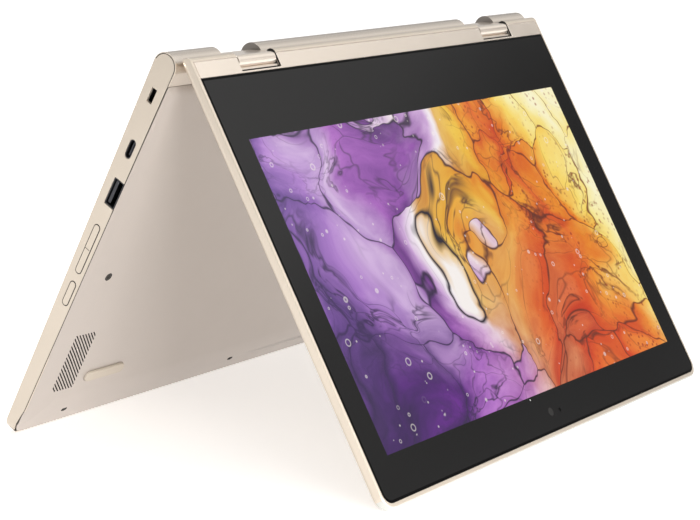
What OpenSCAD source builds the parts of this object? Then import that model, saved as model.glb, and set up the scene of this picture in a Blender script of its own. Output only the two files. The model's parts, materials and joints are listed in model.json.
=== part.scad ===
// Convertible laptop with a double-axis hinge, standing in tent mode.
// The base and the lid are each drawn flat in their own frame and then posed:
//   base frame: x to the user's right, y to the rear, z up, y = 0 on the hinge axis
//   lid frame:  x to the viewer's right, y towards the hinge, z out of the display,
//               with y = 0 and z = 0 on the lid's hinge axis
// Part frame: +Z up, the display faces -Y, the origin is the bottom centre of the box.

/* [Base] */
// Width of the base
base_w = 290; // [284:1:300]
// Length from the hinge axis to the front edge
base_len = 199; // [195:1:205]
// Height of the hinge axis above the bottom face
axis_z = 6.6; // [6.4:0.1:7]
// Radius of the rounded rear spine
spine_r = 6.2; // [6:0.1:6.4]
// Slope of the deck, down towards the front
deck_slope = 1.36; // [1.2:0.02:1.5]
// Thickness of the deck
deck_t = 1.6; // [1.4:0.1:1.8]
// Thickness of the side walls
wall_t = 1.6; // [1.4:0.1:1.8]
// Thickness of the bottom cover
cover_t = 1.2; // [1:0.1:1.4]
// Corner radius in plan
corner_r = 7; // [5:1:9]

/* [Lid] */
// Width of the lid
lid_w = 286.8; // [284:0.2:290]
// Length from the lid's hinge axis to its far edge
lid_len = 201.2; // [198:0.2:204]
// How far the lid reaches past its hinge axis
lid_back = 4.3; // [4:0.1:4.4]
// Thickness of the lid
lid_t = 6.0; // [5.8:0.1:6.2]
// Height of the rim above the lid's hinge axis
lid_face = 3.1; // [3:0.1:3.2]
// Radius of the lid's rear bar and of its back edges
lid_edge_r = 3.0; // [2.6:0.1:3]
// Half the width of the cover glass
glass_x = 141.9; // [141:0.1:142.1]
// Hinge side edge of the glass, from the axis
glass_y0 = 6.5; // [6.4:0.1:7]
// Far edge of the glass, from the axis
glass_y1 = 198.8; // [198:0.1:199.2]
// Width of the lit area
active_w = 256.1; // [250:0.1:258]
// Height of the lit area
active_h = 144.1; // [140:0.1:146]
// Hinge side edge of the lit area, from the axis
active_y0 = 36; // [34:0.1:38]

/* [Hinge] */
// Distance between the two hinge axes
link_d = 11.25; // [11.2:0.05:11.6]
// Angle between the lid and the base in tent mode
tent_angle = 59; // [45:1:75]
// Middle of each hinge cap, across the width
cap_x = 99; // [95:1:103]
// Width of a hinge cap
cap_w = 26.2; // [24:0.1:27]
// Radius of a hinge cap
cap_r = 2.9; // [2.7:0.1:2.9]
// Gap at each end of a hinge cap
cap_gap = 0.7; // [0.5:0.1:0.9]
// Depth of the trim's notch below the lid's axis
lid_notch = 5.5; // [5:0.1:5.8]
// Radius of the hinge shafts
shaft_r = 1.4; // [1.2:0.1:1.5]

/* [Keyboard] */
// Width of one key unit
key_u = 17.9; // [17.5:0.1:18]
// Depth of one key row
row_u = 17.4; // [17:0.1:17.6]
// Depth of the function row
fn_row = 12.4; // [11:0.1:13]
// Gap between neighbouring keycaps
key_gap = 2.6; // [2:0.1:3]
// Rear edge of the keyboard, from the hinge axis
kbd_y0 = -24; // [-26:0.5:-23]
// Keycap height above the deck
key_top = 0.5; // [0.3:0.1:0.6]
// Keycap thickness
key_t = 2.0; // [1.8:0.1:2.1]
// Key travel
key_travel = 1.2; // [1:0.1:1.3]

/* [Touchpad] */
// Width of the touchpad
pad_w = 104; // [96:1:108]
// Depth of the touchpad
pad_d = 55; // [50:1:56]
// Rear edge of the touchpad
pad_y0 = -131.5; // [-133:0.5:-131]

/* [Hidden] */
$fn = 64;
clr = 0.25;
seam_z = cover_t;
front_z = 3.1;
edge_r = 1.2;
half_w = base_w / 2;
inner_x = half_w - wall_t;
inner_y = -base_len + wall_t;
spine_y = -8;
notch_x0 = cap_x - cap_w / 2 - cap_gap;
notch_x1 = cap_x + cap_w / 2 + cap_gap;
notch_y = -(cap_r + 0.4);
ramp_y = -183;
bend = tent_angle / 2;

// Keyboard layout: key widths in units, each row adds up to the same length
row_units = 14.5;
function run(n, w) = [for (i = [1 : n]) w];
rows = [
    concat([1.25], run(12, 1), [1.25]),
    concat(run(13, 1), [1.5]),
    concat([1.5], run(13, 1)),
    concat([1.75], run(11, 1), [1.75]),
    concat([2.25], run(10, 1), [2.25]),
    [1.25, 1, 1, 1]
];
space_at = 4.25;
space_units = 5.25;
after_space = [1, 1];
arrow_at = 11.5;
kbd_x0 = -row_units * key_u / 2;
kbd_len = fn_row + 5 * row_u;
well_x = -kbd_x0 + 1;
well_y0 = kbd_y0 + 1.2;
well_y1 = kbd_y0 - kbd_len - 1.2;
grid_z = -0.6;
grid_t = 1.1;
key_fit = 0.35;
membrane_z = -2.8;
membrane_t = 0.3;
plate_t = 0.6;
plate_z = membrane_z - membrane_t;
dome_r = 3;
cap_roof = 0.8;
dome_gap = 0.25;
dome_h = key_top - cap_roof - key_travel - dome_gap - membrane_z + 0.05;
dome_pocket_r = 3.8;

// Ports and controls on the sides: distance from the hinge axis and height
lock_y = -14.5;
lock_z = 6.7;
usbc_y = -41.2;
usbc_z = 5.7;
usba_y = -63.4;
usba_z = 4.15;
port_depth = 14;
jack_y = -82;
jack_z = 4.6;
jack_r = 1.8;
card_y = -100;
card_z = 4.6;
volume_y = -93.9;
volume_len = 25.8;
volume_z = 5.0;
power_y = -118;
power_len = 12.6;
power_z = 4.6;
button_h = 3.2;
button_proud = 0.15;
board_edge = half_w - wall_t - port_depth + 0.6;

// Bottom cover details
speaker_x = 125;
speaker_y = -158.5;
speaker_w = 14;
speaker_len = 33;
slot_w = 0.7;
slot_pitch = 2.2;
slot_drop = 16.5;
slot_count = 11;
foot_x = 98.5;
foot_y = -170.5;
foot_len = 27;
foot_w = 5.6;
foot_h = 1.3;
rear_foot_y = -22;
rear_foot_len = 120;
rear_foot_h = 0.9;
screw_head_r = 1.9;
front_head_r = 0.8;
front_slot_len = 3.8;
front_slot_w = 1.9;
screw_r = 0.8;
stud_screws = [[128, -109], [-128, -109], [0, -109]];
case_screws = [[100, -14], [-100, -14], [45, -14], [-45, -14]];
front_screws = [[114.5, -190.4], [-11.5, -190.4], [-114.5, -190.4]];

// Tent pose: both far edges are arcs that touch the floor
contact_l = [-lid_len + lid_edge_r, lid_face - lid_t + lid_edge_r];
contact_b = [-base_len + edge_r, front_z + edge_r - axis_z];
raise = 90 - bend;
function turned(p, a) = [p[0] * cos(a) - p[1] * sin(a), p[0] * sin(a) + p[1] * cos(a)];
foot_l = turned(contact_l, raise);
foot_b_local = turned(contact_b, raise);
foot_b = [link_d - foot_b_local[0], foot_b_local[1]];
span = foot_l - foot_b;
lean = 180 - asin((lid_edge_r - edge_r) / norm(span)) - atan2(span[1], span[0]);
floor_z = lid_edge_r - turned(foot_l, lean)[1];
rim_r = 0.8;
rim_l = turned([-lid_len + rim_r, lid_face - rim_r], raise);
tip_b_local = turned([-base_len + edge_r, deck_z(-base_len + edge_r) - edge_r - axis_z], raise);
tip_b = [link_d - tip_b_local[0], tip_b_local[1]];
box_y0 = turned(rim_l, lean)[0] - rim_r;
box_y1 = turned(tip_b, lean)[0] + edge_r;
shift_y = -(box_y0 + box_y1) / 2;

// ---------- poses ----------

module tent() translate([0, shift_y, floor_z]) rotate([lean, 0, 0]) children();

module in_lid() tent() rotate([raise, 0, 0]) children();

module in_base() tent() translate([0, link_d, 0]) rotate([0, 0, 180]) rotate([raise, 0, 0])
    translate([0, 0, -axis_z]) children();

module in_link() tent() children();

// Deck frame: y follows the sloping deck and z = 0 is its surface
module on_deck() translate([0, 0, axis_z]) rotate([deck_slope, 0, 0])
    translate([0, 0, spine_r]) children();

// ---------- helpers ----------

function deck_z(y) = axis_z + spine_r / cos(deck_slope) + y * tan(deck_slope);

// Extrudes a (y, z) outline across the width, from x0 to x1
module across(x0, x1) translate([x0, 0, 0]) rotate([90, 0, 90]) linear_extrude(x1 - x0) children();

// Extrudes an (x, z) outline from y0 to y1
module along(y0, y1) translate([0, y1, 0]) rotate([90, 0, 0]) linear_extrude(y1 - y0) children();

module box(x0, x1, y0, y1, z0, z1) translate([x0, y0, z0]) cube([x1 - x0, y1 - y0, z1 - z0]);

module both_sides() {
    children();
    mirror([1, 0, 0]) children();
}

module round_rect(x0, x1, y0, y1, r) {
    translate([x0 + r, y0]) square([x1 - x0 - 2 * r, y1 - y0]);
    translate([x0, y0 + r]) square([x1 - x0, y1 - y0 - 2 * r]);
    for (x = [x0 + r, x1 - r], y = [y0 + r, y1 - r]) translate([x, y]) circle(r);
}

module pill(len, h) {
    square([len - h, h], center = true);
    for (s = [-1, 1]) translate([s * (len - h) / 2, 0]) circle(h / 2);
}

// A pill outline on a side wall, extruded along x; the long way follows y
module side_pill(x0, x1, y, z, len, h) translate([x0, y, z]) rotate([90, 0, 90])
    linear_extrude(x1 - x0) pill(len, h);

module rod(x0, x1, r) translate([x0, 0, 0]) rotate([0, 90, 0]) cylinder(r = r, h = x1 - x0);

// ---------- base housing ----------

module base_plan(inset = 0) {
    r = corner_r - inset;
    round_rect(-half_w + inset, half_w - inset, -base_len + inset, -base_len + 60, r);
    translate([-half_w + inset, -base_len + 30]) square([base_w - 2 * inset, base_len]);
}

module base_outline() {
    front = -base_len;
    translate([0, axis_z]) circle(spine_r);
    polygon([
        [-spine_r * sin(deck_slope), axis_z + spine_r * cos(deck_slope)],
        [front + edge_r, deck_z(front + edge_r)],
        [front + edge_r, front_z],
        [ramp_y, seam_z],
        [-6.4, seam_z],
        [-6.4, 0.7],
        [0, axis_z - spine_r]
    ]);
    translate([front, front_z + edge_r]) square([edge_r + 1, deck_z(front) - front_z - 2 * edge_r]);
    translate([front + edge_r, deck_z(front + edge_r) - edge_r]) circle(edge_r);
    translate([front + edge_r, front_z + edge_r]) circle(edge_r);
}

module case_cavity() across(-inner_x, inner_x) polygon([
    [spine_y, -1],
    [inner_y, -1],
    [inner_y, deck_z(inner_y) - deck_t],
    [spine_y, deck_z(spine_y) - deck_t]
]);

module hinge_notches() both_sides() box(notch_x0, notch_x1, notch_y, 20, -5, 30);

// Room for the shaft and the leaf of a base hinge inside the spine
module base_hinge_room() both_sides() {
    translate([0, 0, axis_z]) rod(notch_x1 - 1, 127, shaft_r + 0.3);
    box(113.6, 126.4, spine_y - 1, 0, axis_z - 0.8, axis_z + 0.8);
}

module deck_openings() on_deck() {
    box(-well_x, well_x, well_y1, well_y0, -5, 5);
    translate([0, 0, -5]) linear_extrude(10)
        round_rect(-pad_w / 2 - clr, pad_w / 2 + clr, pad_y0 - pad_d - clr, pad_y0 + clr, 3);
}

module side_openings() {
    side_pill(inner_x - 1, half_w + 1, usbc_y, usbc_z, 9.3, 3.6);
    mirror([1, 0, 0]) side_pill(inner_x - 1, half_w + 1, usbc_y, usbc_z, 9.3, 3.6);
    both_sides() box(inner_x - 1, half_w + 1, usba_y - 6.8, usba_y + 6.8, usba_z - 2.95, usba_z + 2.95);
    box(inner_x - 1, half_w + 1, lock_y - 3.5, lock_y + 3.5, lock_z - 1.5, lock_z + 1.5);
    side_pill(inner_x - 1, half_w + 1, volume_y, volume_z, volume_len + 2 * clr, button_h + 2 * clr);
    side_pill(inner_x - 1, half_w + 1, power_y, power_z, power_len + 2 * clr, button_h + 2 * clr);
    translate([-half_w - 1, jack_y, jack_z]) rotate([0, 90, 0]) cylinder(r = 2.6, h = wall_t + 2);
    box(-half_w - 1, -inner_x + 1, card_y - 6, card_y + 6, card_z - 0.8, card_z + 0.8);
}

module deck_boss(x, y, z0) difference() {
    translate([x, y, z0]) cylinder(r = 2.2, h = deck_z(y) - deck_t / 2 - z0);
    translate([x, y, z0 - 1]) cylinder(r = screw_r + 0.05, h = 6);
}

leaf_screws = [[117, -12], [123, -12], [117, -18], [123, -18]];
leaf_top = axis_z + 0.5;

module top_case() color("antiquewhite") in_base() {
    difference() {
        intersection() {
            across(-half_w, half_w) base_outline();
            linear_extrude(40) base_plan();
        }
        case_cavity();
        hinge_notches();
        base_hinge_room();
        deck_openings();
        side_openings();
    }
    for (p = case_screws) deck_boss(p[0], p[1], seam_z);
    for (p = front_screws) deck_boss(p[0], p[1], 2.6);
    both_sides() for (p = leaf_screws) deck_boss(p[0], p[1], leaf_top);
}

module cover_outline() polygon([
    [-6.6, seam_z],
    [-6.6, 0.9],
    [-11, 0],
    [-181, 0],
    [-189, 0.75],
    [-base_len + 1.6, front_z - 0.5],
    [-base_len + 1.2, front_z - 0.05],
    [ramp_y, seam_z]
]);

module cover_section() polygon([
    [-half_w + 0.3, seam_z + 5],
    [-half_w + 0.3, seam_z - 0.3],
    [-half_w + 5, 0],
    [half_w - 5, 0],
    [half_w - 0.3, seam_z - 0.3],
    [half_w - 0.3, seam_z + 5]
]);

// A rectangular field of diagonal slots, which fall by slot_drop across the field's width
module speaker_slots() translate([speaker_x, speaker_y, -1]) linear_extrude(5) intersection() {
    square([speaker_w, speaker_len], center = true);
    union() for (i = [-slot_count : slot_count])
        translate([0, i * slot_pitch]) rotate([0, 0, atan2(slot_drop, speaker_w)])
            square([2 * speaker_w, slot_w], center = true);
}

module bottom_cover() color("linen") in_base() difference() {
    intersection() {
        across(-half_w, half_w) cover_outline();
        along(-base_len, 0) cover_section();
        linear_extrude(40) base_plan(0.3);
    }
    both_sides() speaker_slots();
    for (p = concat(stud_screws, case_screws)) {
        translate([p[0], p[1], -1]) cylinder(r = screw_head_r + 0.15, h = 1.6);
        translate([p[0], p[1], -1]) cylinder(r = screw_r + 0.2, h = 5);
    }
    for (p = front_screws) translate([p[0], p[1], -1]) {
        linear_extrude(2.5) pill(front_slot_len, front_slot_w);
        cylinder(r = screw_r + 0.2, h = 5);
    }
}

module screw(x, y, z, len, head_r) translate([x, y, z]) {
    difference() {
        cylinder(r = head_r, h = 0.5);
        for (a = [0, 90]) rotate([0, 0, a])
            translate([-head_r / 2, -0.2, -0.1]) cube([head_r, 0.4, 0.35]);
    }
    translate([0, 0, 0.5]) cylinder(r = screw_r, h = len);
}

module cover_screws() color("dimgray") in_base() {
    for (p = concat(stud_screws, case_screws)) screw(p[0], p[1], 0.1, 4.2, screw_head_r);
    for (p = front_screws) screw(p[0], p[1], 1.0, 3.6, front_head_r);
}

module front_feet() color("tan") in_base() both_sides() translate([foot_x, foot_y, -foot_h])
    linear_extrude(foot_h) pill(foot_len, foot_w);

module rear_foot() color("tan") in_base() translate([0, rear_foot_y, -rear_foot_h])
    linear_extrude(rear_foot_h) pill(rear_foot_len, foot_w);

// ---------- keyboard ----------

function row_y1(r) = kbd_y0 - (r == 0 ? 0 : fn_row + (r - 1) * row_u);
function row_y0(r) = kbd_y0 - fn_row - r * row_u;
function key_x(r, i) = kbd_x0 + key_u * (i == 0 ? 0 : sum_to(rows[r], i));
function sum_to(v, n) = n == 0 ? 0 : v[n - 1] + sum_to(v, n - 1);

// One keycap's outline: left edge, width in units, front and rear edges of its cell
module key_cell(x, u, y0, y1, grow = 0) {
    g = key_gap / 2 - grow;
    round_rect(x + g, x + u * key_u - g, y0 + g, y1 - g, 1.6 + grow);
}

module keycap(x, u, y0, y1) difference() {
    translate([0, 0, key_top - key_t]) linear_extrude(key_t) key_cell(x, u, y0, y1);
    translate([x + u * key_u / 2, (y0 + y1) / 2, key_top - key_t - 1])
        cylinder(r = min(dome_pocket_r, (y1 - y0 - key_gap) / 2 - 0.8), h = key_t - cap_roof + 1);
}

module row_of_keys(r) color("dimgray") in_base() on_deck()
    for (i = [0 : len(rows[r]) - 1]) keycap(key_x(r, i), rows[r][i], row_y0(r), row_y1(r));

module function_keys() row_of_keys(0);
module number_keys() row_of_keys(1);
module upper_keys() row_of_keys(2);
module home_keys() row_of_keys(3);
module lower_keys() row_of_keys(4);

function after_x(i) = kbd_x0 + key_u * (space_at + space_units + i);

module bottom_keys() {
    row_of_keys(5);
    color("dimgray") in_base() on_deck()
        for (i = [0 : 1]) keycap(after_x(i), after_space[i], row_y0(5), row_y1(5));
}

module space_bar() color("dimgray") in_base() on_deck()
    keycap(kbd_x0 + key_u * space_at, space_units, row_y0(5), row_y1(5));

// Arrow cluster: left and right are half height at the front, up and down are stacked
arrow_mid = (row_y0(5) + row_y1(5)) / 2;
arrow_cells = [
    [0, row_y0(5), arrow_mid + 0.8],
    [1, row_y0(5), arrow_mid + 0.8],
    [1, arrow_mid - 0.8, row_y1(5)],
    [2, row_y0(5), arrow_mid + 0.8]
];

module arrow_keys() color("dimgray") in_base() on_deck()
    for (c = arrow_cells) keycap(kbd_x0 + key_u * (arrow_at + c[0]), 1, c[1], c[2]);

module all_key_cells(grow) {
    for (r = [0 : 5], i = [0 : len(rows[r]) - 1])
        key_cell(key_x(r, i), rows[r][i], row_y0(r), row_y1(r), grow);
    for (i = [0 : 1]) key_cell(after_x(i), after_space[i], row_y0(5), row_y1(5), grow);
    key_cell(kbd_x0 + key_u * space_at, space_units, row_y0(5), row_y1(5), grow);
    for (c = arrow_cells) key_cell(kbd_x0 + key_u * (arrow_at + c[0]), 1, c[1], c[2], grow);
}

module keyboard_grid() color("antiquewhite") in_base() on_deck()
    translate([0, 0, grid_z - grid_t]) linear_extrude(grid_t) difference() {
        translate([-well_x + 0.1, well_y1 + 0.1])
            square([2 * well_x - 0.2, well_y0 - well_y1 - 0.2]);
        all_key_cells(key_fit);
    }

module dome_at(x, y) translate([x, y, membrane_z - 0.05]) cylinder(r = dome_r, h = dome_h);

module keyboard_membrane() color("gainsboro") in_base() on_deck() {
    box(-well_x + 1, well_x - 1, well_y1 + 1, well_y0 - 1, plate_z, membrane_z);
    for (r = [1 : 5], i = [0 : len(rows[r]) - 1])
        dome_at(key_x(r, i) + rows[r][i] * key_u / 2, (row_y0(r) + row_y1(r)) / 2);
    for (i = [0 : 1]) dome_at(after_x(i) + key_u / 2, (row_y0(5) + row_y1(5)) / 2);
    dome_at(kbd_x0 + key_u * (space_at + space_units / 2), (row_y0(5) + row_y1(5)) / 2);
}

module keyboard_plate() color("silver") in_base() {
    on_deck() box(-well_x - 1.5, well_x + 1.5, well_y1 - 1.5, well_y0 + 1.5, plate_z - plate_t, plate_z);
    for (p = stud_screws) {
        top = deck_z(p[1]) + plate_z - plate_t / 2;
        difference() {
            translate([p[0], p[1], seam_z]) cylinder(r = 2, h = top - seam_z);
            translate([p[0], p[1], 0]) cylinder(r = screw_r + 0.05, h = top - 0.5);
        }
    }
    // Posts that hold the plate under the deck
    on_deck() both_sides() for (y = [well_y0 + 0.9, -60, well_y1 - 0.9])
        translate([well_x + (y == -60 ? 0.9 : -20), y, plate_z - plate_t])
            cylinder(r = 0.55, h = -deck_t - plate_z + plate_t);
}

// ---------- touchpad ----------

pivot_in = 2;
pivot_z = -2.25;
pivot_r = 0.5;

module touchpad() color("lightgray") in_base() on_deck() {
    translate([0, 0, -1.05]) linear_extrude(1)
        round_rect(-pad_w / 2, pad_w / 2, pad_y0 - pad_d, pad_y0, 2.75);
    box(-pad_w / 2 + 2, pad_w / 2 - 2, pad_y0 - pad_d + 2, pad_y0 - 1, -1.85, -1.05);
    // Switch under the front edge
    translate([0, pad_y0 - pad_d + 6, -2.25]) cylinder(r = 1.6, h = 0.4);
    // Pivot barrels under the rear edge
    both_sides() translate([0, pad_y0 - pivot_in, pivot_z]) rod(30, 44, pivot_r);
}

module touchpad_bracket() color("silver") in_base() on_deck() {
    box(-pad_w / 2 - 4, pad_w / 2 + 4, pad_y0 - pad_d + 2, pad_y0 - 1, -3.5, -2.9);
    both_sides() box(pad_w / 2 + 1, pad_w / 2 + 4, pad_y0 - pad_d + 2, pad_y0 - 1, -2.9, -deck_t);
}

// ---------- electronics ----------

board_z = 3.0;
board_t = 0.8;

module mainboard() color("darkgreen") in_base()
    box(-30, board_edge - 0.2, -104, -24, board_z, board_z + board_t);

module mainboard_chips() color("black") in_base() {
    for (c = [[60, -58, 24, 24, 1.2], [88, -52, 14, 10, 1.0], [88, -66, 14, 10, 1.0],
              [34, -46, 11, 13, 1.0], [34, -74, 11, 13, 1.0], [108, -86, 9, 9, 0.9]])
        translate([c[0] - c[2] / 2, c[1] - c[3] / 2, board_z + board_t]) cube([c[2], c[3], c[4]]);
    for (x = [-20 : 12 : 100]) translate([x, -98, board_z + board_t]) cube([5, 3, 0.9]);
}

module io_board() color("darkgreen") in_base()
    box(-board_edge + 0.2, -108, -106, -36, board_z, board_z + board_t);

module heat_spreader() color("peru") in_base()
    box(24, 104, -84, -34, board_z + board_t + 1.2, board_z + board_t + 1.6);

cell_x = [-68.85, 0, 68.85];

module battery_tray() color("black") in_base() difference() {
    box(-104, 104, -181.5, -125, seam_z, 3.4);
    for (x = cell_x) box(x - 33.95, x + 33.95, -180.3, -126.2, seam_z + 0.4, 9);
}

module battery_cells() color("dimgray") in_base() for (x = cell_x)
    box(x - 33.6, x + 33.6, -180, -126.5, seam_z + 0.4, 4.3);

module speaker(side) color("black") in_base() mirror([side < 0 ? 1 : 0, 0, 0]) {
    box(108, 137, -180, -138, seam_z + 0.5, 5.2);
    difference() {
        box(110, 135, -177, -141, seam_z, seam_z + 0.6);
        box(111.5, 133.5, -175.5, -142.5, seam_z - 1, seam_z + 0.5);
    }
}

module speaker_left() speaker(-1);
module speaker_right() speaker(1);

// Receptacles: a metal shell, open at the wall, with a tongue inside
module usb_c_body() {
    difference() {
        side_pill(board_edge, half_w - 0.3, usbc_y, usbc_z, 8.9, 3.2);
        side_pill(board_edge + 1, half_w, usbc_y, usbc_z, 8.34, 2.56);
    }
    box(board_edge + 0.9, half_w - 1.2, usbc_y - 3.35, usbc_y + 3.35, usbc_z - 0.35, usbc_z + 0.35);
}

module usb_a_body() {
    difference() {
        box(board_edge, half_w - 0.3, usba_y - 6.55, usba_y + 6.55, usba_z - 2.8, usba_z + 2.8);
        box(board_edge + 1, half_w, usba_y - 6.2, usba_y + 6.2, usba_z - 2.45, usba_z + 2.45);
    }
    box(board_edge + 0.9, half_w - 1, usba_y - 5.6, usba_y + 5.6, usba_z + 0.3, usba_z + 1.9);
}

module usb_c_right() color("silver") in_base() usb_c_body();
module usb_a_right() color("silver") in_base() usb_a_body();
module usb_c_left() color("silver") in_base() mirror([1, 0, 0]) usb_c_body();
module usb_a_left() color("silver") in_base() mirror([1, 0, 0]) usb_a_body();

module audio_jack() color("black") in_base() difference() {
    union() {
        box(-inner_x + 0.05, -board_edge, jack_y - 3, jack_y + 3, jack_z - 2.6, jack_z + 2.3);
        translate([-half_w + 0.3, jack_y, jack_z]) rotate([0, 90, 0]) cylinder(r = 2.45, h = 3);
    }
    translate([-half_w, jack_y, jack_z]) rotate([0, 90, 0]) cylinder(r = jack_r, h = port_depth - 0.5);
}

module card_slot() color("silver") in_base() difference() {
    box(-inner_x + 0.05, -board_edge, card_y - 7, card_y + 7, card_z - 1.2, card_z + 1.2);
    box(-half_w, -board_edge - 1, card_y - 5.7, card_y + 5.7, card_z - 0.5, card_z + 0.5);
}

module lock_plate() color("gray") in_base() difference() {
    box(inner_x - 1.6, inner_x - 0.05, lock_y - 5.5, lock_y + 5.5, lock_z - 3.5, lock_z + 3.2);
    box(inner_x - 3, half_w, lock_y - 3.5, lock_y + 3.5, lock_z - 1.5, lock_z + 1.5);
}

switch_x = 141.2;
flange_x = inner_x - 1.1;

// A pill that shows in the wall, with a flange behind it and a stem for each switch
module side_control(y, z, len, stems) {
    side_pill(flange_x + 0.5, half_w + button_proud, y, z, len, button_h);
    box(flange_x, flange_x + 0.6, y - len / 2 - 0.8, y + len / 2 + 0.8, z - 1.4, z + 1.4);
    for (s = stems) translate([flange_x - 0.2, y + s, z]) rotate([0, 90, 0]) cylinder(r = 0.8, h = 1);
}

module power_button() color("antiquewhite") in_base() side_control(power_y, power_z, power_len, [0]);

module volume_rocker() color("antiquewhite") in_base() {
    side_control(volume_y, volume_z, volume_len, [-8, 8]);
    // Pivot pin, above and below the flange
    translate([inner_x - 0.5, volume_y, volume_z - 2]) cylinder(r = 0.35, h = 4);
}

module button_board() color("darkgreen") in_base() {
    box(switch_x - 1.6, switch_x - 0.8, -126, -82, 2.4, 7.8);
    for (y = [power_y, volume_y - 8, volume_y + 8])
        box(switch_x - 0.8, switch_x + 0.3, y - 1.8, y + 1.8, power_z - 1.6, power_z + 1.9);
}

module wireless_card() color("darkgreen") in_base()
    box(-26, -4, -58, -28, board_z + board_t, board_z + board_t + 1.4);

// ---------- hinges ----------

shaft_x0 = cap_x - cap_w / 2 + 2;
shaft_x1 = 126;

module base_hinge(side) color("silver") in_base() mirror([side < 0 ? 1 : 0, 0, 0]) difference() {
    union() {
        translate([0, 0, axis_z]) rod(shaft_x0, shaft_x1, shaft_r);
        box(114, shaft_x1, -21, 0, axis_z - 0.5, axis_z + 0.5);
    }
    for (p = leaf_screws) translate([p[0], p[1], 0]) cylinder(r = screw_r + 0.1, h = 20);
}

module base_hinge_left() base_hinge(-1);
module base_hinge_right() base_hinge(1);

module base_hinge_screws() color("dimgray") in_base() both_sides() for (p = leaf_screws)
    translate([p[0], p[1], axis_z - 1.2]) {
        cylinder(r = 1.5, h = 0.7);
        cylinder(r = screw_r, h = 4);
    }

module cap_outline(r) {
    circle(r);
    translate([link_d, 0]) circle(r);
    translate([0, -r]) square([link_d, 2 * r]);
}

plate_at = [4, 10, 16, 22];
link_plate_t = 1.4;
cap_x0 = cap_x - cap_w / 2;

// Hollow cap; its outer end wall has a hole for each shaft
module hinge_cap(side) color("antiquewhite") in_link() mirror([side < 0 ? 1 : 0, 0, 0]) {
    x1 = cap_x + cap_w / 2;
    difference() {
        across(cap_x0, x1) cap_outline(cap_r);
        across(cap_x0 + 1, x1 - 1) cap_outline(cap_r - 0.6);
        rod(x1 - 2, x1 + 1, shaft_r + 0.05);
        translate([0, link_d, 0]) rod(x1 - 2, x1 + 1, shaft_r + 0.05);
    }
}

module hinge_cap_left() hinge_cap(1);
module hinge_cap_right() hinge_cap(-1);

module hinge_links() color("gray") in_link() both_sides() for (a = [plate_at[0], plate_at[3]])
    difference() {
        across(cap_x0 + a - link_plate_t / 2, cap_x0 + a + link_plate_t / 2) cap_outline(cap_r - 0.7);
        rod(0, half_w, shaft_r + 0.05);
        translate([0, link_d, 0]) rod(0, half_w, shaft_r + 0.05);
    }

module friction_washers() color("darkgoldenrod") in_link() both_sides() for (y = [0, link_d], i = [0 : 7])
    translate([cap_x0 + 6.6 + i * 1.7, y, 0]) rotate([0, 90, 0]) difference() {
        cylinder(r = cap_r - 0.8, h = 1.2);
        translate([0, 0, -1]) cylinder(r = shaft_r + 0.05, h = 4);
    }

// ---------- lid ----------

lid_z0 = lid_face - lid_t;

module lid_side_outline(inset = 0) {
    r = lid_edge_r - inset;
    z1 = lid_face - inset;
    z0 = lid_z0 + inset;
    y1 = lid_back - inset;
    y0 = -lid_len + inset;
    translate([y1 - r, z0 + r]) circle(r);
    translate([y0 + r, z0 + r]) circle(r);
    translate([y0 + r, z0]) square([y1 - y0 - 2 * r, z1 - z0]);
    translate([y0, z0 + r]) square([r, z1 - z0 - r - rim_r]);
    translate([y0 + rim_r, z1 - rim_r]) circle(rim_r);
    translate([y0 + rim_r, z1 - rim_r]) square([r, rim_r]);
}

module lid_end_outline() {
    x = lid_w / 2;
    for (s = [-1, 1]) {
        translate([s * (x - lid_edge_r), lid_z0 + lid_edge_r]) circle(lid_edge_r);
        translate([s * (x - rim_r), lid_face - rim_r]) circle(rim_r);
    }
    translate([-x + lid_edge_r, lid_z0]) square([2 * x - 2 * lid_edge_r, lid_t]);
    translate([-x, lid_z0 + lid_edge_r]) square([2 * x, lid_t - lid_edge_r - rim_r]);
    translate([-x + rim_r, lid_face - 2 * rim_r]) square([2 * x - 2 * rim_r, 2 * rim_r]);
}

module lid_plan() {
    x = lid_w / 2;
    round_rect(-x, x, -lid_len, -lid_len + 60, corner_r);
    translate([-x, -lid_len + 30]) square([lid_w, lid_len]);
}

module glass_plan(grow = 0) {
    x = glass_x + grow;
    round_rect(-x, x, -glass_y1 - grow, -glass_y1 + 60, 5 + grow);
    translate([-x, -glass_y1 + 30]) square([2 * x, glass_y1 - 30 - glass_y0 + grow]);
}

lid_skin = 1.1;
trim_y = 1.2;
trim_t = 0.9;

module trim_notches() both_sides() box(notch_x0, notch_x1, -lid_notch, 20, -20, 20);

// The shell keeps a bed in front of each cap; only the trim is notched to full depth
module shell_notches() both_sides() box(notch_x0, notch_x1, notch_y, 20, -20, 20);

module lid_hinge_room() both_sides() rod(notch_x1 - 1, 127, shaft_r + 0.3);

lid_leaf_screws = [[117, -10], [123, -10], [117, -22], [123, -22]];

module lid_boss(x, y) difference() {
    translate([x, y, lid_z0 + 0.5]) cylinder(r = 2, h = -0.5 - lid_z0 - 0.5);
    translate([x, y, lid_z0 + lid_skin]) cylinder(r = screw_r + 0.05, h = 5);
}

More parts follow.
